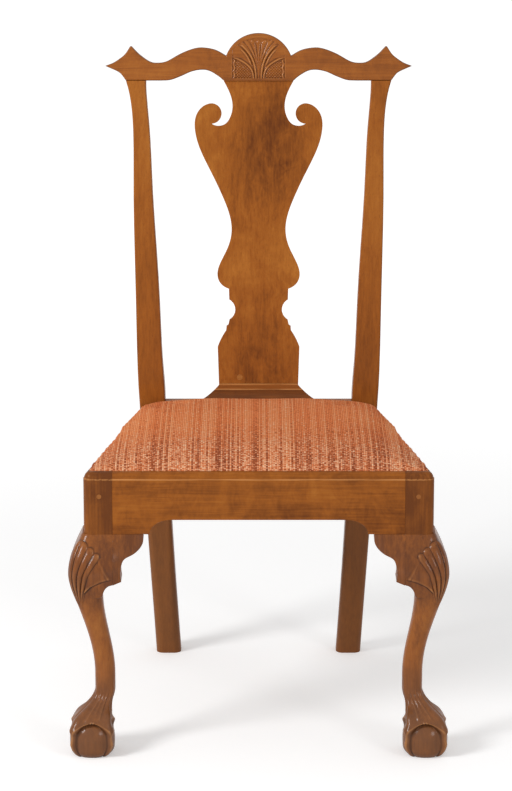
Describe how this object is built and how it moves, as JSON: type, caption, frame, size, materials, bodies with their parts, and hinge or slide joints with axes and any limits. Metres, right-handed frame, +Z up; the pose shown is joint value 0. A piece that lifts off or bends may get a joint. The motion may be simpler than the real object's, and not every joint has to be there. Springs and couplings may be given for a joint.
{
  "type": "side chair",
  "caption": "Wooden side chair with a vase-shaped splat, carved shell crest, cabriole front legs on claw-and-ball feet and an upholstered drop-in seat.",
  "frame": {"origin": "on the floor under the middle of the chair's overall box", "axes": "+Z up; the chair faces -Y; +X to the right as seen from the front"},
  "size_m": [0.57, 0.5408, 1.021],
  "materials": {
    "chair_wood": "satin polish",
    "pale_wood": "bare",
    "webbing": "woven",
    "stuffing": "matt",
    "seat_fabric": "ribbed weave",
    "tack_iron": "blued"
  },
  "bodies": {
    "chair_frame": {"front_rail": "chair_wood", "rear_rail": "chair_wood", "crest_rail": "chair_wood", "splat": "chair_wood", "splat_plug": "chair_wood", "shoe": "chair_wood", "left_side_rail": "chair_wood", "right_side_rail": "chair_wood", "left_front_leg": "chair_wood", "right_front_leg": "chair_wood", "left_rear_post": "chair_wood", "right_rear_post": "chair_wood", "left_front_knee_bracket": "chair_wood", "right_front_knee_bracket": "chair_wood", "left_side_knee_bracket": "chair_wood", "right_side_knee_bracket": "chair_wood", "left_front_corner_block": "pale_wood", "right_front_corner_block": "pale_wood", "left_rear_corner_block": "pale_wood", "right_rear_corner_block": "pale_wood", "leg_pegs": "chair_wood", "post_pegs": "chair_wood"},
    "slip_seat": {"slip_front_member": "pale_wood", "slip_rear_member": "pale_wood", "slip_right_member": "pale_wood", "slip_left_member": "pale_wood", "long_webbing": "webbing", "cross_webbing": "webbing", "seat_sackcloth": "stuffing", "seat_stuffing": "stuffing", "seat_cover": "seat_fabric", "cover_tacks": "tack_iron"}
  },
  "joints": [
    {"name": "seat_lift", "type": "slide", "parent": "chair_frame", "child": "slip_seat", "axis": [0, 0, 1], "range_m": [0, 0.12]}
  ]
}
